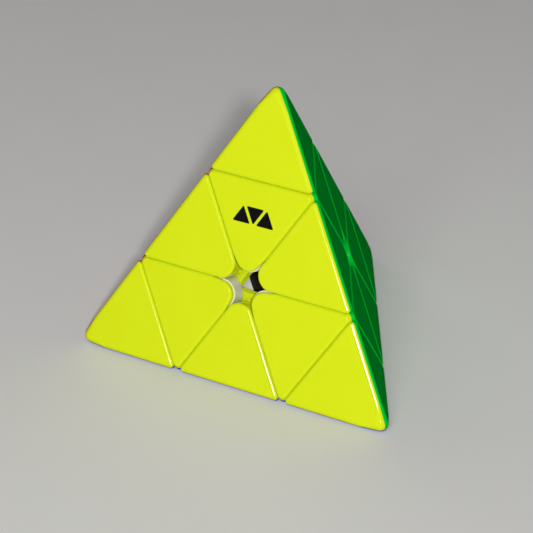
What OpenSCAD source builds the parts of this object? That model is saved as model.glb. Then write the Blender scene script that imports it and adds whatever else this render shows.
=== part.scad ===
// Four-cornered twisty puzzle: a tetrahedron of turning layers on a ball core.
// Millimetres. The origin is the centre of the core, where the four turning axes meet.
// It rests on its blue face. +Z runs up through the top corner, and the yellow face looks along -Y.

/* [Body] */
// length of one sharp outer edge of the tetrahedron
edge_length = 98; // [90:0.5:105]
// distance from the core centre to a layer's parting plane
layer_plane = 6.64; // [6.5:0.02:6.9]
// distance from the core centre to a tip's parting plane
tip_plane = 32.65; // [32.4:0.05:33.2]
// gap between two pieces that slide past each other
seam = 0.30; // [0.2:0.05:0.5]

/* [Rounding] */
// radius of the long outer edges
edge_round = 1.5; // [0.8:0.05:2]
// radius of the corners next to an outer edge
corner_round = 0.9; // [0.6:0.1:2]
// radius of an axial piece's blunt corner on an outer edge
blunt_round = 1.35; // [1:0.05:2.5]
// radius of an axial piece's corner at a face's centre
axial_nose_round = 3.6; // [2.5:0.1:5]
// radius of an edge piece's corner at a face's centre
edge_nose_round = 4.5; // [2.5:0.1:5]
// radius of the nose of each tip
nose_round = 2.1; // [1.5:0.05:3]

/* [Shells] */
// thickness of a coloured cap
cap = 1.6; // [1.2:0.1:2.4]
// thickness of a hidden wall
wall = 1.8; // [1.4:0.1:2.4]
// radius of the pegs that hold the caps
peg_r = 1.0; // [0.8:0.05:1.4]
// radial clearance of a peg in its hole
peg_play = 0.05; // [0.02:0.01:0.1]

/* [Mechanism] */
// radius of the sphere that the feet turn under
foot_sphere = 14.6; // [14.3:0.1:15]
// inner radius of the feet
foot_inner = 12.8; // [12.6:0.1:13.2]
// radius of the core ball
ball_r = 8.5; // [8:0.1:9]
// radius of the tube that carries each axial piece on its screw
tube_r = 5.6; // [5.2:0.1:5.8]
// distance from the core centre to the planes that part the feet, under the sphere
foot_plane = 2.0; // [1.8:0.05:2.5]
// radial clearance of a tip's stem in its socket
stem_play = 0.10; // [0.05:0.01:0.1]
// radius of a tip's stem
stem_r = 4.9; // [4.5:0.1:5.2]

/* [Magnets] */
// radius of a magnet disc
magnet_r = 2.0; // [1.5:0.1:2.5]
// thickness of a magnet disc
magnet_h = 1.5; // [1:0.1:2]
// height of a magnet above the core centre, along the axis of its axial piece
magnet_at = 20; // [18:0.5:22]

/* [Hidden] */
$fn = 96;
big = 76;
tilt = acos(-1 / 3);
lean = acos(1 / sqrt(3));
face_at = edge_length / sqrt(24);
crest = edge_length / sqrt(8);
inner = face_at - cap;
half = seam / 2;
sin_h = sqrt(1 / 3);
cos_h = sqrt(2 / 3);
crown = crest - (sqrt(3) - 1) * edge_round;
frame_ridge = inner * sqrt(3) - 1.3;
// how far down a face the axial and the edge pieces' sharp corners would reach past its centre
axial_corner = (layer_plane - half - face_at / 3) * 3 / sqrt(2);
edge_corner = (layer_plane + half - face_at / 3) * 3 / sqrt(2);
axial_nose = axial_corner - 2 * axial_nose_round;
edge_nose = -edge_corner - 2 * edge_nose_round;
nose_proud = 0.35;
corner_turn = (180 - lean) / 2;
nose_flare = 0.84;
fuller = 1.015;
yellow = [0.86, 0.92, 0.10];
green = [0.02, 0.60, 0.20];
red = [0.80, 0.06, 0.09];
blue = [0.04, 0.24, 0.72];
white = [0.93, 0.91, 0.85];
dark = [0.06, 0.06, 0.065];
steel = [0.74, 0.75, 0.77];
zinc = [0.62, 0.64, 0.67];
nickel = [0.80, 0.80, 0.82];

// ---- places -------------------------------------------------------------------------

// turns +Z onto the axis of a corner: "t" top, "l" left, "r" right, "b" back
module toward(c) {
  if (c == "t") children();
  if (c == "l") rotate([0, tilt, 210]) children();
  if (c == "r") rotate([0, tilt, 330]) children();
  if (c == "b") rotate([0, tilt, 90]) children();
}

// carries a piece made at the top corner to another corner
module at_corner(c) {
  if (c == "t") children();
  if (c != "t") toward(c) rotate([0, 0, 90]) children();
}

// carries a piece made with +Z through the middle of its outer edge to one of the six edges
module at_edge(e) {
  if (e == "tl") rotate([0, lean, 210]) children();
  if (e == "tr") rotate([0, lean, 330]) children();
  if (e == "tb") rotate([0, lean, 90]) children();
  if (e == "lr") at_corner("l") rotate([0, lean, 330]) children();
  if (e == "lb") at_corner("l") rotate([0, lean, 210]) children();
  if (e == "rb") at_corner("r") rotate([0, lean, 330]) children();
}

// everything nearer the core than distance t along +Z, and everything further
module under(t) {
  translate([-big, -big, t - 2 * big]) cube([2 * big, 2 * big, 2 * big]);
}
module over(t) {
  translate([-big, -big, t]) cube([2 * big, 2 * big, 2 * big]);
}

// removes a convex corner seen along Y: everything past the chord but not in the rod
module rounder(x, z, a, r, k, wide = 6) {
  translate([x, 0, z]) rotate([0, a, 0]) difference() {
    translate([-5, -wide, r * k]) cube([10, 2 * wide, 7]);
    rotate([90, 0, 0]) cylinder(h = 2 * wide + 2, r = r * fuller, center = true);
  }
}

// ---- rounding of the outer shape, in an edge's own frame ----------------------------

// the long outer edge
module edge_rounder() {
  z0 = crest - sqrt(3) * edge_round;
  difference() {
    translate([-60, -6, z0 + sin_h * edge_round]) cube([120, 12, 8]);
    translate([0, 0, z0]) rotate([0, 90, 0])
      cylinder(h = 122, r = edge_round * fuller, center = true);
  }
}

// the corner that an edge piece has at its +X end
module end_rounder() {
  q = corner_round;
  z = crown - q;
  x = (sin_h * z - layer_plane - half - q) / cos_h;
  rounder(x, z, corner_turn, q, cos(corner_turn));
}

// the corner that the top tip has on this edge, and the axial piece's blunt corner
module tip_corner_rounder() {
  q = corner_round;
  z = crown - q;
  x = (sin_h * z - tip_plane - half - q) / cos_h;
  rounder(x, z, corner_turn, q, cos(corner_turn));
}
module blunt_rounder() {
  q = blunt_round;
  z = (tip_plane + layer_plane - seam - 2 * q) / (2 * sin_h);
  x = (layer_plane - tip_plane) / (2 * cos_h);
  rounder(x, z, 0, q, sin_h);
}

// ---- core ---------------------------------------------------------------------------

module core_ball() {
  color(dark) difference() {
    union() {
      sphere(r = ball_r);
      for (c = ["t", "l", "r", "b"]) toward(c) translate([0, 0, 7]) cylinder(h = 2.5, r = 3.0);
    }
    for (c = ["t", "l", "r", "b"]) toward(c) translate([0, 0, 3]) cylinder(h = 7, r = 1.55);
  }
}

module screw() {
  difference() {
    union() {
      translate([0, 0, 3.4]) cylinder(h = 15.2, r = 1.5);
      translate([0, 0, 18.5]) cylinder(h = 1.5, r = 3.3);
      translate([0, 0, 20]) cylinder(h = 0.7, r1 = 3.3, r2 = 2.5);
    }
    translate([-1.9, -0.35, 19.5]) cube([3.8, 0.7, 2]);
    translate([-0.35, -1.9, 19.5]) cube([0.7, 3.8, 2]);
  }
}

module axle_screws() {
  color(zinc) for (c = ["t", "l", "r", "b"]) toward(c) screw();
}

// one spring, drawn as a sleeve with a turn of wire at each rib
module spring() {
  n = 6;
  p = 5.7 / n;
  translate([0, 0, 12.7]) rotate_extrude() polygon(concat(
    [for (i = [0 : n - 1]) each [[2.55, i * p], [3.0, i * p + 0.3], [3.0, i * p + 0.65]]],
    [[2.55, n * p], [2.35, n * p]],
    [for (i = [n - 1 : -1 : 0]) each [[2.1, i * p + 0.65], [2.1, i * p + 0.3], [2.35, i * p]]]
  ));
}

module axle_springs() {
  color(steel) for (c = ["t", "l", "r", "b"]) toward(c) spring();
}

module axle_washers() {
  color(steel) for (c = ["t", "l", "r", "b"]) toward(c) difference() {
    translate([0, 0, 12.1]) cylinder(h = 0.5, r = 3.3);
    translate([0, 0, 12]) cylinder(h = 1, r = 1.65);
  }
}

// ---- axial piece, made at the top corner --------------------------------------------

// the block between the tip's plane and the layers' planes, open towards the faces
module axial_block(skin) {
  intersection() {
    over(layer_plane + half + skin);
    under(tip_plane - half - skin);
    toward("l") under(layer_plane - half - skin);
    toward("r") under(layer_plane - half - skin);
    toward("b") under(layer_plane - half - skin);
  }
}

// centre and direction of a magnet's bed: the layer plane of the piece to the left
module magnet_place() {
  h = (magnet_at + layer_plane) / 2;
  v = 0.75 * (magnet_at * [0, 0, 1] + layer_plane * [-sqrt(2 / 3), -sqrt(2) / 3, -1 / 3]
    - h * [sqrt(2 / 3), -sqrt(2) / 3, -1 / 3] - h * [0, sqrt(8) / 3, -1 / 3]);
  translate(v) rotate([0, tilt, 210]) children();
}

// a point on the face opposite the back corner: +X down the face, +Z out of it
module on_front() {
  rotate([0, 180 - tilt, 270]) children();
}

module axial_pegs(r, h, deep) {
  for (p = [[-9.5, 0], [-23, 6.4], [-23, -6.4]])
    on_front() translate([p[0], p[1], inner - deep]) cylinder(h = h, r = r);
}

// rounds the corner at the front face's centre, from height z out, to a radius
module nose_rounder(r, z) {
  on_front() translate([axial_nose, 0, z]) difference() {
    translate([axial_nose_round / 2, -9, 0]) cube([12, 18, 10]);
    translate([0, 0, -1]) cylinder(h = 12, r = r);
  }
}

module axial_frame() {
  difference() {
    union() {
      difference() {
        intersection() {
          axial_block(0);
          toward("l") over(-inner);
          toward("r") over(-inner);
          toward("b") over(-inner);
        }
        sphere(r = foot_sphere + half);
        for (a = [90, 210, 330]) rotate([0, lean, a]) over(frame_ridge);
        for (a = [0, 120, 240]) rotate([0, 0, a]) nose_rounder(axial_nose_round + nose_proud, 12.6);
        difference() {
          axial_block(wall);
          sphere(r = foot_sphere + half + wall);
          cylinder(h = 60, r = 7.6);
          for (a = [0, 120, 240]) rotate([0, 0, a]) on_front()
            translate([axial_nose + axial_nose_round / 2, -12, 10]) cube([14, 24, 12]);
          for (a = [0, 120, 240]) rotate([0, 0, a]) axial_pegs(2.1, 6, 5);
          for (a = [0, 120, 240]) rotate([0, 0, a]) magnet_place()
            translate([0, 0, -2.6]) cylinder(h = 3, r = magnet_r + 1.2);
        }
      }
      difference() {
        sphere(r = foot_sphere + 1);
        sphere(r = foot_inner);
        toward("l") over(foot_plane - half);
        toward("r") over(foot_plane - half);
        toward("b") over(foot_plane - half);
      }
      difference() {
        translate([0, 0, 6]) cylinder(h = 8, r = tube_r);
        sphere(r = ball_r + 0.2);
      }
    }
    translate([0, 0, 7]) cylinder(h = 2.8, r = 3.1);
    translate([0, 0, 9]) cylinder(h = 4, r = 1.65);
    translate([0, 0, 12]) cylinder(h = 11, r = 3.7);
    translate([0, 0, 22]) cylinder(h = 12, r = stem_r + stem_play);
    translate([0, 0, 25.4]) cylinder(h = 2.1, r = 5.75);
    for (a = [0, 120, 240]) rotate([0, 0, a]) axial_pegs(peg_r + peg_play, 5, 3.3);
    for (a = [0, 120, 240]) rotate([0, 0, a]) magnet_place()
      translate([0, 0, -3]) cylinder(h = 3 - half - 0.6, r = magnet_r + 0.05);
  }
}

module axial_cap() {
  difference() {
    union() {
      intersection() {
        axial_block(0);
        toward("b") under(-inner);
        toward("b") over(-face_at);
        linear_extrude(height = 60) polygon([[0, 0], [-130, -75.06], [130, -75.06]]);
      }
      axial_pegs(peg_r, 3.2, 3);
    }
    for (a = [210, 330]) rotate([0, lean, a]) blunt_rounder();
    nose_rounder(axial_nose_round, face_at - 3);
  }
}

module axial_magnets() {
  for (a = [0, 120, 240]) rotate([0, 0, a]) magnet_place()
    translate([0, 0, -half - 0.6 - magnet_h]) cylinder(h = magnet_h, r = magnet_r);
}

// ---- tip, made at the top corner ----------------------------------------------------

module tip_pegs(r, h, deep) {
  on_front() translate([-37, 0, inner - deep]) cylinder(h = h, r = r);
}

module tip_frame() {
  difference() {
    union() {
      intersection() {
        over(tip_plane + half);
        toward("l") over(-inner);
        toward("r") over(-inner);
        toward("b") over(-inner);
      }
      translate([0, 0, 24.6]) cylinder(h = 10, r = stem_r);
      translate([0, 0, 25.7]) cylinder(h = 1.5, r = 5.6);
    }
    translate([0, 0, 24]) cylinder(h = 14, r = 3.4);
    for (a = [90, 210, 330]) rotate([0, lean, a]) over(frame_ridge);
    for (a = [0, 120, 240]) rotate([0, 0, a]) tip_pegs(peg_r + peg_play, 4, 2);
  }
}

module tip_cap() {
  z0 = 3 * face_at - 3 * nose_round;
  z1 = z0 + nose_round / 3;
  r1 = nose_round * sqrt(fuller * fuller - 1 / 9);
  difference() {
    union() {
      intersection() {
        over(tip_plane + half);
        toward("b") under(-inner);
        toward("b") over(-face_at);
        toward("l") over(-face_at);
        toward("r") over(-face_at);
        linear_extrude(height = 70) polygon([[0, 0], [-130, -75.06], [130, -75.06]]);
      }
      tip_pegs(peg_r, 2, 1.8);
    }
    for (a = [210, 330]) rotate([0, lean, a]) {
      edge_rounder();
      tip_corner_rounder();
    }
    difference() {
      translate([-13, -13, z1 - 10]) cube([26, 26, 10]);
      translate([0, 0, z1 - 11]) cylinder(h = 12, r1 = r1 + 11 * nose_flare, r2 = r1 - nose_flare);
    }
    translate([0, 0, z0]) difference() {
      translate([-5, -5, nose_round / 3]) cube([10, 10, 8]);
      sphere(r = nose_round * fuller);
    }
  }
}

// ---- edge piece, made with +Z through the middle of its outer edge -------------------

module edge_shell(skin) {
  intersection() {
    rotate([0, -lean, 0]) over(layer_plane + half + skin);
    rotate([0, lean, 0]) over(layer_plane + half + skin);
    rotate([-lean, 0, 0]) under(face_at - skin);
    rotate([lean, 0, 0]) under(face_at - skin);
  }
}

module edge_magnet_place() {
  h = (magnet_at + layer_plane) / 2;
  x = (magnet_at - layer_plane) / (2 * cos_h);
  z = (magnet_at + layer_plane) / (2 * sin_h);
  translate([-x, 0, z]) rotate([0, lean, 0]) children();
}

module edge_magnet_pair(r, h, z) {
  for (a = [0, 180]) rotate([0, 0, a]) edge_magnet_place()
    translate([0, 0, z]) cylinder(h = h, r = r);
}

module edge_pins(r, y0, y1) {
  for (x = [-7.5, 7.5]) translate([x, y0, 27.6]) rotate([-90, 0, 0]) cylinder(h = y1 - y0, r = r);
}

// the half whose colour lies on the +Y side
module edge_half(pin) {
  difference() {
    union() {
      difference() {
        edge_shell(0);
        sphere(r = foot_sphere + half);
        edge_rounder();
        end_rounder();
        rotate([0, 0, 180]) end_rounder();
        rotate([-lean, 0, 0]) translate([0, edge_nose, 14.5]) difference() {
          translate([-8, edge_nose_round / 2, 0]) cube([16, 9, 8]);
          translate([0, 0, -1]) cylinder(h = 10, r = edge_nose_round * 1.01);
        }
        difference() {
          edge_shell(wall);
          sphere(r = foot_sphere + half + wall);
          edge_pins(2.2, -12, 12);
          edge_magnet_pair(magnet_r + 1.2, 4, -1);
        }
      }
      intersection() {
        edge_shell(0);
        difference() {
          sphere(r = foot_sphere + 1);
          sphere(r = foot_inner);
        }
      }
      difference() {
        sphere(r = foot_sphere - half);
        sphere(r = foot_inner);
        rotate([180 - lean, 0, 0]) over(foot_plane - half);
        rotate([lean - 180, 0, 0]) over(foot_plane - half);
        rotate([0, lean, 0]) under(foot_plane + half);
        rotate([0, -lean, 0]) under(foot_plane + half);
      }
    }
    translate([-50, -100, 0]) cube([100, 100, 60]);
    edge_magnet_pair(magnet_r + 0.05, magnet_h + 0.1, half + 0.6);
    if (!pin) edge_pins(peg_r + peg_play, -3.4, 3.4);
  }
  if (pin) edge_pins(peg_r, -3, 1);
}

module edge_magnets() {
  edge_magnet_pair(magnet_r, magnet_h, half + 0.65);
}

// ---- the named pieces ---------------------------------------------------------------

module cap_at(c, turn) {
  at_corner(c) rotate([0, 0, turn]) axial_cap();
}
module tip_cap_at(c, turn) {
  at_corner(c) rotate([0, 0, turn]) tip_cap();
}
// side 0 is the half on the edge's +Y side, and side 180 is the other half
module half_at(e, side) {
  at_edge(e) rotate([0, 0, side]) edge_half(side == 0);
}

module axial_top_frame() color(white) axial_frame();
module axial_top_cap_yellow() color(yellow) cap_at("t", 0);
module axial_top_cap_green() color(green) cap_at("t", 120);
module axial_top_cap_red() color(red) cap_at("t", 240);
module axial_top_magnets() color(nickel) axial_magnets();

module axial_left_frame() color(white) at_corner("l") axial_frame();
module axial_left_cap_blue() color(blue) cap_at("l", 0);
module axial_left_cap_yellow() color(yellow) cap_at("l", 120);
module axial_left_cap_red() color(red) cap_at("l", 240);
module axial_left_magnets() color(nickel) at_corner("l") axial_magnets();

module axial_right_frame() color(white) at_corner("r") axial_frame();
module axial_right_cap_blue() color(blue) cap_at("r", 0);
module axial_right_cap_green() color(green) cap_at("r", 120);
module axial_right_cap_yellow() color(yellow) cap_at("r", 240);
module axial_right_magnets() color(nickel) at_corner("r") axial_magnets();

module axial_back_frame() color(white) at_corner("b") axial_frame();
module axial_back_cap_blue() color(blue) cap_at("b", 0);
module axial_back_cap_red() color(red) cap_at("b", 120);
module axial_back_cap_green() color(green) cap_at("b", 240);
module axial_back_magnets() color(nickel) at_corner("b") axial_magnets();

module tip_top_frame() color(white) tip_frame();
module tip_top_cap_yellow() color(yellow) tip_cap_at("t", 0);
module tip_top_cap_green() color(green) tip_cap_at("t", 120);
module tip_top_cap_red() color(red) tip_cap_at("t", 240);

module tip_left_frame() color(white) at_corner("l") tip_frame();
module tip_left_cap_blue() color(blue) tip_cap_at("l", 0);
module tip_left_cap_yellow() color(yellow) tip_cap_at("l", 120);
module tip_left_cap_red() color(red) tip_cap_at("l", 240);

module tip_right_frame() color(white) at_corner("r") tip_frame();
module tip_right_cap_blue() color(blue) tip_cap_at("r", 0);
module tip_right_cap_green() color(green) tip_cap_at("r", 120);
module tip_right_cap_yellow() color(yellow) tip_cap_at("r", 240);

module tip_back_frame() color(white) at_corner("b") tip_frame();
module tip_back_cap_blue() color(blue) tip_cap_at("b", 0);
module tip_back_cap_red() color(red) tip_cap_at("b", 120);
module tip_back_cap_green() color(green) tip_cap_at("b", 240);

module edge_top_left_yellow() color(yellow) half_at("tl", 0);
module edge_top_left_red() color(red) half_at("tl", 180);
module edge_top_left_magnets() color(nickel) at_edge("tl") edge_magnets();
module edge_top_right_green() color(green) half_at("tr", 0);
module edge_top_right_yellow() color(yellow) half_at("tr", 180);
module edge_top_right_magnets() color(nickel) at_edge("tr") edge_magnets();
module edge_top_back_red() color(red) half_at("tb", 0);
module edge_top_back_green() color(green) half_at("tb", 180);
module edge_top_back_magnets() color(nickel) at_edge("tb") edge_magnets();
module edge_left_right_yellow() color(yellow) half_at("lr", 0);
module edge_left_right_blue() color(blue) half_at("lr", 180);
module edge_left_right_magnets() color(nickel) at_edge("lr") edge_magnets();
module edge_left_back_blue() color(blue) half_at("lb", 0);
module edge_left_back_red() color(red) half_at("lb", 180);
module edge_left_back_magnets() color(nickel) at_edge("lb") edge_magnets();
module edge_right_back_green() color(green) half_at("rb", 0);
module edge_right_back_blue() color(blue) half_at("rb", 180);
module edge_right_back_magnets() color(nickel) at_edge("rb") edge_magnets();

core_ball();
axle_screws();
axle_springs();
axle_washers();
axial_top_frame();
axial_top_cap_yellow();
axial_top_cap_green();
axial_top_cap_red();
axial_top_magnets();
axial_left_frame();
axial_left_cap_yellow();
axial_left_cap_red();
axial_left_cap_blue();
axial_left_magnets();
axial_right_frame();
axial_right_cap_yellow();
axial_right_cap_green();
axial_right_cap_blue();
axial_right_magnets();
axial_back_frame();
axial_back_cap_green();
axial_back_cap_red();
axial_back_cap_blue();
axial_back_magnets();
tip_top_frame();
tip_top_cap_yellow();
tip_top_cap_green();
tip_top_cap_red();
tip_left_frame();
tip_left_cap_yellow();
tip_left_cap_red();
tip_left_cap_blue();
tip_right_frame();
tip_right_cap_yellow();
tip_right_cap_green();
tip_right_cap_blue();
tip_back_frame();
tip_back_cap_green();
tip_back_cap_red();
tip_back_cap_blue();
edge_top_left_yellow();
edge_top_left_red();
edge_top_left_magnets();
edge_top_right_yellow();
edge_top_right_green();
edge_top_right_magnets();
edge_top_back_green();
edge_top_back_red();
edge_top_back_magnets();
edge_left_right_yellow();
edge_left_right_blue();
edge_left_right_magnets();
edge_left_back_red();
edge_left_back_blue();
edge_left_back_magnets();
edge_right_back_green();
edge_right_back_blue();
edge_right_back_magnets();
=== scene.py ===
import math

import bmesh
import bpy
from mathutils import Matrix, Vector


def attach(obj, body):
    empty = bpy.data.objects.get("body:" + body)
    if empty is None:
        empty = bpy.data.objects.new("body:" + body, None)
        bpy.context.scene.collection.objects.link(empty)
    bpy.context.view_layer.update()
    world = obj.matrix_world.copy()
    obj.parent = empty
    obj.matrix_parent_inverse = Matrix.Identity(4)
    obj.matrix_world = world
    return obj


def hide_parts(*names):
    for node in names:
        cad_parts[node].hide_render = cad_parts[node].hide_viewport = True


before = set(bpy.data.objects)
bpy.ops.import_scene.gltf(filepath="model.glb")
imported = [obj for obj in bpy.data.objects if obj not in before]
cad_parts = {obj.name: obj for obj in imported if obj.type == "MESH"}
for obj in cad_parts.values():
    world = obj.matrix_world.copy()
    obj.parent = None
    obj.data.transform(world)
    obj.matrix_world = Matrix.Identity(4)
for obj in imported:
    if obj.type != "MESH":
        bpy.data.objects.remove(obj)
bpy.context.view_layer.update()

# Four-cornered twisty puzzle. Shapes are worked out in millimetres about the core's centre, as
# the CAD is, and every mesh is scaled to metres as it is placed.

MM = 0.001

# ---- sizes, in millimetres --------------------------------------------------------------

EDGE = 98.0                # sharp outer edge of the tetrahedron
LAYER = 6.64               # core's centre to a layer's parting plane
TIP = 32.65                # core's centre to a tip's parting plane
HALF_GAP = 0.15            # half the CAD's gap between pieces that slide
TIGHT = 0.04               # half the visible gap, between the coloured skins
SOFT = 0.75                # soft edge that the moulded pieces have along every seam
CREST_R = 1.5              # long outer edges
CORNER_R = 0.9             # corners next to an outer edge
BLUNT_R = 1.35             # axial piece's blunt corner on an outer edge
AXIAL_NOSE_R = 3.6         # axial pieces' corners at a face's centre
EDGE_NOSE_R = 4.5          # edge pieces' corners at a face's centre
NOSE_R = 2.1               # nose of each tip
CAP = 1.6                  # thickness of a coloured cap
WALL = 1.8                 # thickness of a hidden wall
SPHERE = 14.6              # sphere that the feet turn under
FOOT_INNER = 12.8          # inner radius of the feet
FOOT = 2.0                 # core's centre to the planes that part the feet
SKIN = 0.01                # visible skin lies this far inside the CAD surface
CAVITY_R = 0.4             # inner corners of an edge piece's hollow
NECK_R = 0.1               # corners of an edge piece's neck
FOOT_R = 0.3               # corners of an edge piece's foot
NECK_RISE = 1.0            # how far a neck runs up into its shell
PEG_R = 1.0                # pegs that hold the caps
PEG_PLAY = 0.05            # radial clearance of a peg or pin in its hole
PEG_ROOT = 0.4             # how far a peg runs up into its cap
TIP_PEGS = [(-37, 0)]      # places of the pegs on the front face
TIP_PEG_LENGTH = 1.8
AXIAL_PEGS = [(-9.5, 0), (-23, 6.4), (-23, -6.4)]
AXIAL_PEG_LENGTH = 3.0
PIN_AT = 27.6              # height of the pins that join an edge piece's halves
PIN_APART = 7.5            # each pin's distance from the middle
PIN_LENGTH = 3.0
PIN_ROOT = 1.0             # how far a pin runs back into its own half
PIN_HOLE = 3.4             # depth of the hole it goes into
POST_R = 2.2               # posts round the pins
POST_REACH = 12            # they run past both walls, and the walls cut them off
MAGNET_AT = 20.0           # height of a magnet along its axial piece's axis
MAGNET_R = 2.0
MAGNET_H = 1.5
MAGNET_PLAY = 0.05
MAGNET_SKIN = 0.6          # wall between a magnet and the parting plane
MAGNET_WALL = 1.2          # wall round a magnet
MARK_AT = -18.7            # from the face's centre to the printed mark, up the face
MARK_SIZE = 5.2            # side of each of its triangles
MARK_PITCH = 3.5           # from one triangle to the next
MARK_CORNER = 0.25         # radius of their corners
MARK_INSET = 0.5           # from a sharp triangle's corner in to the centre of that radius
MARK_LOW, MARK_HIGH = -0.02, 0.008  # the ink's underside and top, from the face
COIL_TURNS = 6
COIL_R = 2.55
COIL_END = 0.8             # turns that lie flat at each end
COIL_LOW, COIL_HIGH = 12.7, 18.4
WIRE_R = 0.3

FACE = EDGE / math.sqrt(24)
CREST = EDGE / math.sqrt(8)
AXIAL_NOSE = (LAYER - HALF_GAP - FACE / 3) * 3 / math.sqrt(2) - 2 * AXIAL_NOSE_R
EDGE_NOSE = -(LAYER + HALF_GAP - FACE / 3) * 3 / math.sqrt(2) - 2 * EDGE_NOSE_R
TILT = math.acos(-1 / 3)
LEAN = math.acos(1 / math.sqrt(3))
SIN_H = math.sqrt(1 / 3)
COS_H = math.sqrt(2 / 3)
CROWN = CREST - (math.sqrt(3) - 1) * CREST_R

FACET_STEP = math.radians(7.5)     # between the facets of a rolled corner
ARC_STEP = math.radians(11)        # between the facets of a soft edge
HOLE_REACH = math.radians(60)      # how far round a hole's corner the facets go
NOSE_REACH, NOSE_STEP, NOSE_SPIN_STEP = 72, 10, 15  # facets of a tip's nose, in degrees
NOSE_CLEAR = 0.06          # how clearly a nose facet has to face away from the outer edges
FINE_SIDES = 48            # sides of the larger rods
PEG_SIDES = 32
COIL_STEPS = 28            # steps in one turn of a spring
WIRE_SIDES = 10
STOCK = 400                # side of the block that each body is cut from
HALF_BLOCK = 100           # side of the block that takes away an edge piece's other half
WEDGE_SIDE = 20            # the wedge that becomes a foot ends here, past the sphere
TOUCH = 5e-4               # corners nearer than this are one corner
FAN = (0.34, 0.67)         # rings of the fan that closes a rolled corner


def turn(x=0.0, y=0.0, z=0.0):
    """Rotation about X, then Y, then Z, in radians."""
    return (Matrix.Rotation(z, 3, "Z") @ Matrix.Rotation(y, 3, "Y")
            @ Matrix.Rotation(x, 3, "X"))


TOWARD = {
    "top": turn(),
    "left": turn(y=TILT, z=math.radians(210)),
    "right": turn(y=TILT, z=math.radians(330)),
    "back": turn(y=TILT, z=math.radians(90)),
}
CORNER = {c: m @ turn(z=math.radians(0 if c == "top" else 90)) for c, m in TOWARD.items()}
LEFT_EDGE = turn(y=LEAN, z=math.radians(210))
RIGHT_EDGE = turn(y=LEAN, z=math.radians(330))
BACK_EDGE = turn(y=LEAN, z=math.radians(90))
EDGES = {
    "top_left": LEFT_EDGE,
    "top_right": RIGHT_EDGE,
    "top_back": BACK_EDGE,
    "left_right": CORNER["left"] @ RIGHT_EDGE,
    "left_back": CORNER["left"] @ LEFT_EDGE,
    "right_back": CORNER["right"] @ RIGHT_EDGE,
}
AXIS = {c: m @ Vector((0, 0, 1)) for c, m in TOWARD.items()}
ON_FRONT = turn(y=math.pi - TILT, z=math.radians(270))

# ---- convex bodies with soft edges ------------------------------------------------------


def slice_off(bm, normal, distance):
    """Removes what lies past the plane normal @ x = distance, and returns the cut's own faces."""
    cut = bmesh.ops.bisect_plane(
        bm, geom=bm.verts[:] + bm.edges[:] + bm.faces[:], dist=1e-5,
        plane_co=normal * distance, plane_no=normal, clear_outer=True)
    loop = [g for g in cut["geom_cut"] if isinstance(g, bmesh.types.BMEdge)]
    return bmesh.ops.edgeloop_fill(bm, edges=loop)["faces"] if loop else []


def slerp(a, b, t):
    angle = a.angle(b)
    return (math.sin((1 - t) * angle) * a + math.sin(t * angle) * b) / math.sin(angle)


def soft_body(planes, radius):
    """Closed mesh of the convex body inside these (normal, distance) planes, with every edge
    and corner rolled to this radius."""
    core = bmesh.new()
    bmesh.ops.create_cube(core, size=STOCK)
    side = core.faces.layers.int.new("side")
    normals = [Vector(n).normalized() for n, _ in planes]
    for k, (_, distance) in enumerate(planes):
        for f in slice_off(core, normals[k], distance - radius):
            f[side] = k
    bmesh.ops.remove_doubles(core, verts=core.verts, dist=TOUCH)
    bmesh.ops.recalc_face_normals(core, faces=core.faces)
    bm = bmesh.new()
    made = {}

    def point(corner, direction):
        key = (corner, tuple(round(c, 6) for c in direction))
        if key not in made:
            made[key] = bm.verts.new(corner.co + radius * direction)
        return made[key]

    def face(points):
        ring = [p for k, p in enumerate(points) if p is not points[k - 1]]
        if len(ring) >= 3:
            bm.faces.new(ring)

    for f in core.faces:
        face([point(v, normals[f[side]]) for v in f.verts])
    arcs = {}
    for edge in core.edges:
        f, g = edge.link_faces
        low, high = normals[f[side]], normals[g[side]]
        steps = max(1, math.ceil(low.angle(high) / ARC_STEP - 1e-6))
        arc = [low] + [slerp(low, high, t / steps) for t in range(1, steps)] + [high]
        arcs[edge, f] = arc
        arcs[edge, g] = arc[::-1]
        a, b = edge.verts
        for d, e in zip(arc, arc[1:]):
            face([point(a, d), point(a, e), point(b, e), point(b, d)])
    for corner in core.verts:
        first = here = corner.link_loops[0]
        ring = []
        arc_count = 0
        while arc_count == 0 or here != first:
            back = here.link_loop_prev
            ring += arcs[back.edge, back.face][:-1]
            here = back.link_loop_radial_next
            arc_count += 1
        if len(ring) == arc_count:
            face([point(corner, d) for d in ring])
            continue
        centre = sum(ring, Vector()).normalized()
        rings = [ring] + [[slerp(d, centre, t) for d in ring] for t in FAN]
        for outer, inner in zip(rings, rings[1:]):
            for k in range(len(ring)):
                face([point(corner, outer[k]), point(corner, inner[k]),
                      point(corner, inner[k - 1]), point(corner, outer[k - 1])])
        for k in range(len(ring)):
            face([point(corner, rings[-1][k]), point(corner, centre),
                  point(corner, rings[-1][k - 1])])
    core.free()
    bmesh.ops.recalc_face_normals(bm, faces=bm.faces)
    return bm


def to_mesh(bm, name):
    mesh = bpy.data.meshes.new(name)
    bmesh.ops.recalc_face_normals(bm, faces=bm.faces)
    bm.to_mesh(mesh)
    bm.free()
    return mesh


def combine(a, b, operation):
    """Mesh a joined with ("UNION"), cut by ("DIFFERENCE") or kept inside ("INTERSECT") mesh b."""
    base = bpy.data.objects.new("base", a)
    tool = bpy.data.objects.new("tool", b)
    for o in (base, tool):
        bpy.context.scene.collection.objects.link(o)
    modifier = base.modifiers.new("combine", "BOOLEAN")
    modifier.operation = operation
    modifier.solver = "MANIFOLD"
    modifier.object = tool
    result = bpy.data.meshes.new_from_object(
        base.evaluated_get(bpy.context.evaluated_depsgraph_get()))
    for o in (base, tool):
        bpy.data.objects.remove(o)
    return result


def ball(radius):
    bm = bmesh.new()
    bmesh.ops.create_icosphere(bm, subdivisions=5, radius=radius)
    return to_mesh(bm, "ball")


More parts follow.
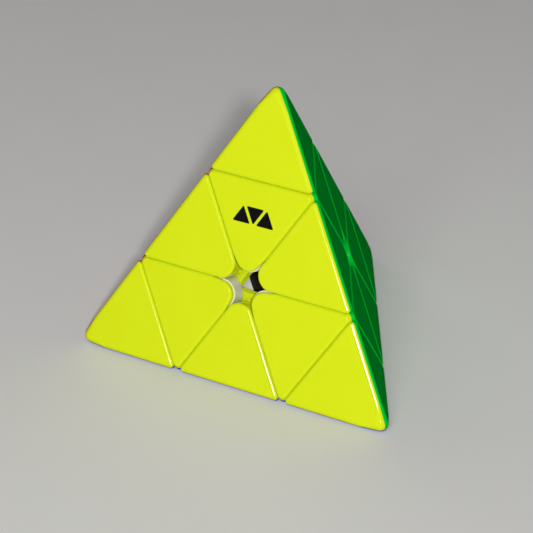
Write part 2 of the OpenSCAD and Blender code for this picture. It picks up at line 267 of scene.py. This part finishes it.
def rod(radius, low, high, place=Matrix.Identity(4), sides=FINE_SIDES):
    bm = bmesh.new()
    middle = place @ Matrix.Translation((0, 0, (low + high) / 2))
    bmesh.ops.create_cone(bm, cap_ends=True, segments=sides, radius1=radius, radius2=radius,
                          depth=high - low, matrix=middle)
    return to_mesh(bm, "rod")


# ---- planes that bound the pieces -------------------------------------------------------


def angles(low, high):
    """Evenly spaced angles strictly between two, no further apart than a facet's step."""
    count = math.ceil((high - low) / FACET_STEP)
    return [low + (high - low) * k / count for k in range(1, count)]


def tangent(frame_, axis_point, radius, direction):
    """The plane that touches a cylinder or ball of this radius, facing this direction."""
    n = frame_ @ Vector(direction)
    return n, n.dot(frame_ @ Vector(axis_point)) + radius - SKIN


def crest_planes(edge):
    """The rolled outer edge of an edge frame."""
    centre = (0, 0, CREST - math.sqrt(3) * CREST_R)
    return [tangent(edge, centre, CREST_R, (0, math.sin(a), math.cos(a)))
            for a in angles(-LEAN, LEAN)]


def end_planes(edge, plane, side=1):
    """The rolled corner where an outer edge ends at a parting plane, towards side * X."""
    z = CROWN - CORNER_R
    x = (SIN_H * z - plane - TIGHT - CORNER_R) / COS_H
    low = -math.asin(SIN_H)
    return [tangent(edge, (side * x, 0, z), CORNER_R, (side * math.cos(a), 0, math.sin(a)))
            for a in angles(low, math.pi / 2)]


def blunt_planes(edge):
    z = (TIP + LAYER - 2 * TIGHT - 2 * BLUNT_R) / (2 * SIN_H)
    x = (LAYER - TIP) / (2 * COS_H)
    return [tangent(edge, (x, 0, z), BLUNT_R, (math.sin(a), 0, math.cos(a)))
            for a in angles(-LEAN, LEAN)]


def hole_planes(place, at, radius, down):
    """A corner at a face's centre: down is the in-face direction that it points in."""
    across = Vector((0, 0, 1)).cross(down)
    return [tangent(place, down * at, radius,
                    down * math.cos(a) + across * math.sin(a))
            for a in angles(-HOLE_REACH, HOLE_REACH)]


def outside(axis, distance):
    """The half space nearer the core than a plane."""
    return axis, distance - SKIN


def beyond(axis, distance):
    return -axis, -distance - SKIN


def tip_shape():
    planes = [beyond(AXIS["top"], TIP + TIGHT)]
    planes += [outside(-AXIS[c], FACE) for c in ("left", "right", "back")]
    for edge in (LEFT_EDGE, RIGHT_EDGE):
        planes += crest_planes(edge) + end_planes(edge, TIP)
    nose = (0, 0, 3 * FACE - 3 * NOSE_R)
    down_edges = [AXIS[c] - AXIS["top"] for c in ("left", "right", "back")]
    for polar in range(0, NOSE_REACH, NOSE_STEP):
        for around in range(-180, 0, NOSE_SPIN_STEP):
            p, a = math.radians(polar), math.radians(around)
            facing = Vector((math.sin(p) * math.cos(a), math.sin(p) * math.sin(a), math.cos(p)))
            if all(facing.dot(d) < -NOSE_CLEAR for d in down_edges) and (polar or around == -90):
                planes.append(tangent(turn(), nose, NOSE_R, facing))
    return planes


def axial_shape():
    planes = [beyond(AXIS["top"], LAYER + TIGHT), outside(AXIS["top"], TIP - TIGHT)]
    planes += [outside(AXIS[c], LAYER - TIGHT) for c in ("left", "right", "back")]
    planes += [outside(-AXIS[c], FACE) for c in ("left", "right", "back")]
    planes += blunt_planes(LEFT_EDGE) + blunt_planes(RIGHT_EDGE)
    planes += hole_planes(ON_FRONT, AXIAL_NOSE, AXIAL_NOSE_R, Vector((1, 0, 0)))
    return planes


EDGE_AXES = [Vector((s * COS_H, 0, SIN_H)) for s in (-1, 1)]
EDGE_FACES = [Vector((0, s * COS_H, SIN_H)) for s in (-1, 1)]


def edge_shape():
    planes = [beyond(n, LAYER + TIGHT) for n in EDGE_AXES]
    planes += [outside(n, FACE) for n in EDGE_FACES]
    planes += crest_planes(turn())
    planes += end_planes(turn(), LAYER) + end_planes(turn(), LAYER, -1)
    planes += hole_planes(turn(x=-LEAN), EDGE_NOSE, EDGE_NOSE_R, Vector((0, 1, 0)))
    return planes


# ---- the three visible shapes, each made once -------------------------------------------


def sector_cuts(bm):
    """Keeps the third of a corner piece that shows on its front face."""
    for s in (-1, 1):
        a = math.radians(-90 + s * 60)
        slice_off(bm, Vector((-math.sin(a), math.cos(a), 0)) * s, 0)
    slice_off(bm, AXIS["back"], -(FACE - CAP))


def front_pegs(mesh, places, depth):
    for x, y in places:
        place = ON_FRONT.to_4x4() @ Matrix.Translation((x, y, FACE - CAP))
        mesh = combine(mesh, rod(PEG_R, -depth, PEG_ROOT, place, PEG_SIDES), "UNION")
    return mesh


def tip_cap():
    bm = soft_body(tip_shape(), SOFT)
    sector_cuts(bm)
    return front_pegs(to_mesh(bm, "tip_cap"), TIP_PEGS, TIP_PEG_LENGTH)


def axial_cap():
    bm = soft_body(axial_shape(), SOFT)
    sector_cuts(bm)
    return front_pegs(to_mesh(bm, "axial_cap"), AXIAL_PEGS, AXIAL_PEG_LENGTH)


def edge_pins(radius, low, high):
    along = turn(x=-math.pi / 2).to_4x4()
    return [rod(radius, low, high, Matrix.Translation((x, 0, PIN_AT)) @ along, PEG_SIDES)
            for x in (-PIN_APART, PIN_APART)]


def magnet_rods(radius, low, high):
    x = (MAGNET_AT - LAYER) / (2 * COS_H)
    z = (MAGNET_AT + LAYER) / (2 * SIN_H)
    rods = []
    for a in (0, math.pi):
        place = turn(z=a).to_4x4() @ Matrix.Translation((-x, 0, z)) @ turn(y=LEAN).to_4x4()
        rods.append(rod(radius, low, high, place))
    return rods


def edge_half(pinned):
    """The half of an edge piece whose colour lies on its +Y side."""
    shell = combine(to_mesh(soft_body(edge_shape(), SOFT), "edge_half"),
                    ball(SPHERE + HALF_GAP), "DIFFERENCE")
    inside = [beyond(n, LAYER + HALF_GAP + WALL) for n in EDGE_AXES]
    inside += [outside(n, FACE - WALL) for n in EDGE_FACES]
    cavity = to_mesh(soft_body(inside, CAVITY_R), "cavity")
    cavity = combine(cavity, ball(SPHERE + HALF_GAP + WALL), "DIFFERENCE")
    for post in edge_pins(POST_R, -POST_REACH, POST_REACH) + magnet_rods(
            MAGNET_R + MAGNET_WALL, -MAGNET_WALL, 2 * MAGNET_H):
        cavity = combine(cavity, post, "DIFFERENCE")
    shell = combine(shell, cavity, "DIFFERENCE")
    neck = to_mesh(soft_body([beyond(n, LAYER + HALF_GAP) for n in EDGE_AXES]
                             + [outside(n, FACE) for n in EDGE_FACES], NECK_R), "neck")
    neck = combine(neck, ball(SPHERE + NECK_RISE), "INTERSECT")
    neck = combine(neck, ball(FOOT_INNER), "DIFFERENCE")
    wedge = [beyond(n, FOOT + HALF_GAP) for n in EDGE_AXES]
    wedge += [outside(-n, FOOT - HALF_GAP) for n in EDGE_FACES]
    wedge += [outside(Vector(v), WEDGE_SIDE)
              for v in ((0, 0, 1), (1, 0, 0), (-1, 0, 0), (0, 1, 0), (0, -1, 0))]
    foot = combine(to_mesh(soft_body(wedge, FOOT_R), "foot"), ball(SPHERE - HALF_GAP), "INTERSECT")
    foot = combine(foot, ball(FOOT_INNER), "DIFFERENCE")
    mesh = combine(combine(shell, neck, "UNION"), foot, "UNION")
    bm = bmesh.new()
    half_space = Matrix.Translation((0, -HALF_BLOCK / 2, CREST / 2))
    bmesh.ops.create_cube(bm, size=HALF_BLOCK, matrix=half_space)
    mesh = combine(mesh, to_mesh(bm, "other_half"), "DIFFERENCE")
    low = HALF_GAP + MAGNET_SKIN
    high = low + MAGNET_H + 2 * MAGNET_PLAY
    for bed in magnet_rods(MAGNET_R + MAGNET_PLAY, low, high):
        mesh = combine(mesh, bed, "DIFFERENCE")
    if pinned:
        for pin in edge_pins(PEG_R, -PIN_LENGTH, PIN_ROOT):
            mesh = combine(mesh, pin, "UNION")
    else:
        for hole in edge_pins(PEG_R + PEG_PLAY, -PIN_HOLE, PIN_HOLE):
            mesh = combine(mesh, hole, "DIFFERENCE")
    return mesh


def printed_mark():
    """Three small triangles in a row, one of them upside down, printed on the front face."""
    bm = bmesh.new()
    place = ON_FRONT.to_4x4() @ Matrix.Translation((MARK_AT, 0, FACE))
    for k in (-1, 0, 1):
        level = MARK_SIZE / math.sqrt(48) * (1 if k else -1)
        middle = Vector((level, k * MARK_PITCH, 0))
        point_up = turn(z=math.pi if k else 0)
        outline = []
        for corner in range(3):
            a = corner * math.tau / 3
            tip = Vector((math.cos(a), math.sin(a), 0)) * (MARK_SIZE / math.sqrt(3) - MARK_INSET)
            for bend in range(-3, 4):
                b = a + bend * math.pi / 9
                outline.append(tip + Vector((math.cos(b), math.sin(b), 0)) * MARK_CORNER)
        rings = [[bm.verts.new(place @ (middle + point_up @ p + Vector((0, 0, z))))
                  for p in outline] for z in (MARK_LOW, MARK_HIGH)]
        bm.faces.new(rings[0])
        bm.faces.new(rings[1])
        for i in range(len(outline)):
            bm.faces.new((rings[0][i - 1], rings[0][i], rings[1][i], rings[1][i - 1]))
    return to_mesh(bm, "printed_mark")


def coil_spring(bm, place):
    """Round wire wound on +Z, with its end turns lying flat."""
    low, high = COIL_LOW + WIRE_R, COIL_HIGH - WIRE_R
    count = COIL_STEPS * COIL_TURNS
    rings = []
    for i in range(count + 1):
        turned = COIL_TURNS * i / count
        rise = (turned - COIL_END) / (COIL_TURNS - 2 * COIL_END)
        height = low + (high - low) * max(0.0, min(1.0, rise))
        height += 2 * WIRE_R * (min(1.0, turned / COIL_END) - 1)
        height += 2 * WIRE_R * max(0.0, (turned - COIL_TURNS + COIL_END) / COIL_END)
        height = max(low, min(high, height))
        out = Vector((math.cos(turned * math.tau), math.sin(turned * math.tau), 0))
        ring = []
        for k in range(WIRE_SIDES):
            b = k * math.tau / WIRE_SIDES
            up = Vector((0, 0, height + WIRE_R * math.sin(b)))
            ring.append(bm.verts.new(place @ (out * (COIL_R + WIRE_R * math.cos(b)) + up)))
        rings.append(ring)
    for low_ring, high_ring in zip(rings, rings[1:]):
        for k in range(WIRE_SIDES):
            bm.faces.new((low_ring[k - 1], low_ring[k], high_ring[k], high_ring[k - 1]))
    bm.faces.new(rings[0])
    bm.faces.new(rings[-1])


# ---- materials --------------------------------------------------------------------------


def material(name, colour, roughness, **sockets):
    """A node material with its shader's constant values set."""
    m = bpy.data.materials.new(name)
    m.use_nodes = True
    shader = m.node_tree.nodes["Principled BSDF"]
    shader.inputs["Base Color"].default_value = (*colour, 1)
    shader.inputs["Roughness"].default_value = roughness
    for key, value in sockets.items():
        shader.inputs[key.replace("_", " ")].default_value = value
    return m


def noise(m, scale, detail, low, high):
    """Fine noise in the piece's own space, in metres, between two values."""
    nodes, links = m.node_tree.nodes, m.node_tree.links
    place = nodes.get("Place") or nodes.new("ShaderNodeTexCoord")
    place.name = "Place"
    texture = nodes.new("ShaderNodeTexNoise")
    texture.inputs["Scale"].default_value = scale
    texture.inputs["Detail"].default_value = detail
    links.new(place.outputs["Object"], texture.inputs["Vector"])
    span = nodes.new("ShaderNodeMapRange")
    span.inputs["From Min"].default_value = 0.3
    span.inputs["From Max"].default_value = 0.7
    span.inputs["To Min"].default_value = low
    span.inputs["To Max"].default_value = high
    links.new(texture.outputs["Fac"], span.inputs["Value"])
    return span.outputs["Result"]


FLOW_SCALE = 90            # noise in the colour, in patches to the metre
HAZE_SCALE = 240           # noise in the gloss
PEEL_SCALE = 900           # orange peel
WEAR_SCALE = 1500          # noise in the gloss of metal
HAZE = (-0.02, 0.03)       # how far the gloss of plastic wanders
WEAR = (-0.06, 0.1)        # how far the gloss of metal does


def plastic(name, colour, deep, roughness=0.12):
    """Glossy moulded plastic: a trace of flow in the colour, a satin haze in the gloss, and the
    faint orange peel of a polished mould."""
    m = material(name, colour, roughness, Subsurface_Weight=0.08, Subsurface_Scale=0.0008,
                 IOR=1.5, Subsurface_Radius=(1.0, 0.9, 0.35))
    nodes, links = m.node_tree.nodes, m.node_tree.links
    shader = nodes["Principled BSDF"]
    mix = nodes.new("ShaderNodeMix")
    mix.data_type = "RGBA"
    mix.inputs["A"].default_value = (*deep, 1)
    mix.inputs["B"].default_value = (*colour, 1)
    links.new(noise(m, FLOW_SCALE, 3, 0.55, 1.0), mix.inputs["Factor"])
    links.new(mix.outputs["Result"], shader.inputs["Base Color"])
    links.new(noise(m, HAZE_SCALE, 4, roughness + HAZE[0], roughness + HAZE[1]),
              shader.inputs["Roughness"])
    bump = nodes.new("ShaderNodeBump")
    bump.inputs["Strength"].default_value = 0.05
    bump.inputs["Distance"].default_value = 0.00004
    links.new(noise(m, PEEL_SCALE, 2, 0, 1), bump.inputs["Height"])
    links.new(bump.outputs["Normal"], shader.inputs["Normal"])
    return m


def metal(name, colour, roughness):
    m = material(name, colour, roughness, Metallic=1.0)
    links = m.node_tree.links
    shader = m.node_tree.nodes["Principled BSDF"]
    links.new(noise(m, WEAR_SCALE, 5, roughness + WEAR[0], roughness + WEAR[1]),
              shader.inputs["Roughness"])
    return m


PLASTICS = {
    "yellow": plastic("plastic_yellow", (0.72, 0.84, 0.012), (0.69, 0.80, 0.008)),
    "green": plastic("plastic_green", (0.0, 0.64, 0.046), (0.0, 0.59, 0.040)),
    "red": plastic("plastic_red", (0.70, 0.010, 0.012), (0.64, 0.008, 0.010)),
    "blue": plastic("plastic_blue", (0.010, 0.09, 0.62), (0.008, 0.08, 0.56)),
    "white": plastic("plastic_white", (0.80, 0.77, 0.66), (0.76, 0.73, 0.61), 0.38),
}
# Painted shade: the core ball is coloured near black so that the deep inside of the holes reads
# dark, in place of the shade that falls there.
PAINTED_SHADE_DARK = plastic("painted_shade_dark", (0.012, 0.012, 0.013), (0.010, 0.010, 0.011), 0.45)
INK = plastic("printed_ink", (0.006, 0.006, 0.007), (0.004, 0.004, 0.005), 0.35)
STEEL = metal("spring_wire", (0.62, 0.62, 0.64), 0.24)
ZINC = metal("zinc_screw", (0.56, 0.57, 0.60), 0.32)
NICKEL = metal("magnet_nickel", (0.70, 0.68, 0.66), 0.18)

# ---- pieces -----------------------------------------------------------------------------

SHARP = math.radians(35)   # steeper edges than this stay sharp, or are broken
FLAT = math.radians(0.5)   # flatter edges than this are taken away
WELD = 0.002               # mesh corners nearer than this are joined
MOULDED_BREAK = 0.12       # widths of the broken edges
MAGNET_BREAK = 0.15
SCREW_BREAK = 0.08
WASHER_BREAK = 0.06


def smooth(mesh):
    """Smooth shading, but for edges that are truly sharp."""
    bm = bmesh.new()
    bm.from_mesh(mesh)
    for f in bm.faces:
        f.smooth = True
    for e in bm.edges:
        e.smooth = len(e.link_faces) != 2 or e.calc_face_angle() < SHARP
    bm.to_mesh(mesh)
    bm.free()


def keep_flats_flat(obj):
    modifier = obj.modifiers.new("flat_faces", "WEIGHTED_NORMAL")
    modifier.keep_sharp = True
    modifier.weight = 100


def piece(name, mesh, rotation, body, node, look):
    """Places a copy of a shape on a body, in place of a CAD node if it names one."""
    mesh = mesh.copy()
    mesh.transform(rotation.to_4x4() @ Matrix.Scale(MM, 4))
    obj = bpy.data.objects.new(name, mesh)
    bpy.context.scene.collection.objects.link(obj)
    mesh.materials.clear()
    mesh.materials.append(look)
    keep_flats_flat(obj)
    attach(obj, body)
    if node:
        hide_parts(node)
    return obj


def build_caps():
    """The three coloured caps of each tip and each axial piece."""
    colours = {
        "top": ("yellow", "green", "red"),
        "left": ("blue", "yellow", "red"),
        "right": ("blue", "green", "yellow"),
        "back": ("blue", "red", "green"),
    }
    for kind, mesh in (("tip", tip_cap()), ("axial", axial_cap())):
        smooth(mesh)
        for corner, three in colours.items():
            for k, colour in enumerate(three):
                rotation = CORNER[corner] @ turn(z=math.radians(120 * k))
                piece(f"{kind}_{corner}_{colour}_shell", mesh, rotation, f"{kind}_{corner}",
                      f"{kind}_{corner}_cap_{colour}", PLASTICS[colour])


def build_edges():
    """The two halves of each edge piece."""
    colours = {
        "top_left": ("yellow", "red"),
        "top_right": ("green", "yellow"),
        "top_back": ("red", "green"),
        "left_right": ("yellow", "blue"),
        "left_back": ("blue", "red"),
        "right_back": ("green", "blue"),
    }
    halves = (edge_half(True), edge_half(False))
    for mesh in halves:
        smooth(mesh)
    for edge, pair in colours.items():
        for k, colour in enumerate(pair):
            piece(f"edge_{edge}_{colour}_shell", halves[k], EDGES[edge] @ turn(z=math.pi * k),
                  f"edge_{edge}", f"edge_{edge}_{colour}", PLASTICS[colour])


def build_mark():
    mesh = printed_mark()
    smooth(mesh)
    piece("printed_mark", mesh, turn(), "axial_top", None, INK)


def build_springs():
    bm = bmesh.new()
    for toward in TOWARD.values():
        coil_spring(bm, toward)
    mesh = to_mesh(bm, "coils")
    smooth(mesh)
    piece("coil_springs", mesh, turn(), "core", "axle_springs", STEEL)


def dress_cad_nodes():
    """The hidden works and the white frames keep their CAD shape, with broken edges."""
    for name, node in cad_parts.items():
        if node.hide_render:
            continue
        # the core ball takes the near-black painted shade
        if name == "core_ball":
            look, width = PAINTED_SHADE_DARK, MOULDED_BREAK
        elif "magnet" in name:
            look, width = NICKEL, MAGNET_BREAK
        elif name == "axle_screws":
            look, width = ZINC, SCREW_BREAK
        elif name == "axle_washers":
            look, width = STEEL, WASHER_BREAK
        else:
            look, width = PLASTICS["white"], MOULDED_BREAK
        node.data.materials.clear()
        node.data.materials.append(look)
        weld = node.modifiers.new("weld", "WELD")
        weld.merge_threshold = WELD * MM
        flats = node.modifiers.new("flats", "DECIMATE")
        flats.decimate_type = "DISSOLVE"
        flats.angle_limit = FLAT
        soft = node.modifiers.new("broken_edges", "BEVEL")
        soft.width = width * MM
        soft.segments = 2
        soft.limit_method = "ANGLE"
        soft.angle_limit = SHARP
        keep_flats_flat(node)


# ---- studio -----------------------------------------------------------------------------


AZIMUTH = math.radians(29.81)      # of the camera, round from the yellow face
ELEVATION = math.radians(30.22)
ROLL = math.radians(-0.49)
DISTANCE = 556.9
AIM_RIGHT, AIM_UP = -3.21, 2.55    # where it looks, from the core's centre
LENS, SENSOR = 140.2, 36


def build_camera():
    """The camera, and the directions that point back to it, to its right and to its top."""
    back = Vector((math.sin(AZIMUTH) * math.cos(ELEVATION),
                   -math.cos(AZIMUTH) * math.cos(ELEVATION), math.sin(ELEVATION)))
    right = Matrix.Rotation(ROLL, 3, back) @ Vector((math.cos(AZIMUTH), math.sin(AZIMUTH), 0))
    up = back.cross(right)
    aim = (AIM_RIGHT * right + AIM_UP * up) * MM
    data = bpy.data.cameras.new("camera")
    data.sensor_width = SENSOR
    data.lens = LENS
    data.clip_start = 0.05
    data.clip_end = 20
    camera = bpy.data.objects.new("camera", data)
    bpy.context.scene.collection.objects.link(camera)
    view = Matrix((right, up, back)).transposed()
    camera.matrix_world = Matrix.Translation(aim + back * DISTANCE * MM) @ view.to_4x4()
    bpy.context.scene.camera = camera
    return back, right, up


def area_light(name, place, size, power):
    """A square light that faces the puzzle."""
    data = bpy.data.lights.new(name, "AREA")
    data.energy = power
    data.size = size
    light = bpy.data.objects.new(name, data)
    bpy.context.scene.collection.objects.link(light)
    light.location = place
    light.rotation_euler = (-Vector(place)).to_track_quat("-Z", "Y").to_euler()
    return light


FLOOR_REACH = 3.0          # these are metres and watts
STUDIO_AT = 1.2            # from the puzzle to the key lights
SOFT_SIZE, SOFT_POWER = 0.7, 6.0
FLASH_SIZE, FLASH_POWER = 0.06, 6.9
FILL_SIZE = 0.6
LEFT_FILL_AT, LEFT_FILL_POWER = (-1.1, 0.5, 0.5), 1.3
RIGHT_FILL_AT, RIGHT_FILL_POWER = (1.0, 0.9, 0.6), 0.45
AMBIENT = 0.10


def build_studio(back, right, up):
    """A pale paper floor, a soft light and a small flash near the camera, and two faint fills."""
    floor = bpy.data.meshes.new("floor")
    level = -FACE * MM
    square = [(x * FLOOR_REACH, y * FLOOR_REACH, level)
              for x, y in ((-1, -1), (1, -1), (1, 1), (-1, 1))]
    floor.from_pydata(square, [], [(0, 1, 2, 3)])
    obj = bpy.data.objects.new("floor", floor)
    bpy.context.scene.collection.objects.link(obj)
    look = material("floor_paper", (0.80, 0.79, 0.77), 0.75)
    shader = look.node_tree.nodes["Principled BSDF"]
    look.node_tree.links.new(noise(look, 60, 3, 0.68, 0.82), shader.inputs["Roughness"])
    floor.materials.append(look)
    obj.visible_glossy = False
    world = bpy.data.worlds.new("studio")
    bpy.context.scene.world = world
    world.use_nodes = True
    world.node_tree.nodes["Background"].inputs["Color"].default_value = (1, 1, 1, 1)
    world.node_tree.nodes["Background"].inputs["Strength"].default_value = AMBIENT
    world.cycles_visibility.glossy = False
    soft = area_light("soft_key", back * STUDIO_AT + up * 0.2 - right * 0.22,
                      SOFT_SIZE, SOFT_POWER)
    soft.visible_glossy = False
    area_light("flash", back * STUDIO_AT + right * 0.06 - up * 0.03, FLASH_SIZE, FLASH_POWER)
    left_fill = area_light("left_fill", LEFT_FILL_AT, FILL_SIZE, LEFT_FILL_POWER)
    left_fill.visible_glossy = False
    right_fill = area_light("right_fill", RIGHT_FILL_AT, FILL_SIZE, RIGHT_FILL_POWER)
    right_fill.visible_glossy = False


bpy.context.scene.view_settings.view_transform = "Standard"
studio_axes = build_camera()
build_caps()
build_edges()
build_mark()
build_springs()
dress_cad_nodes()
build_studio(*studio_axes)
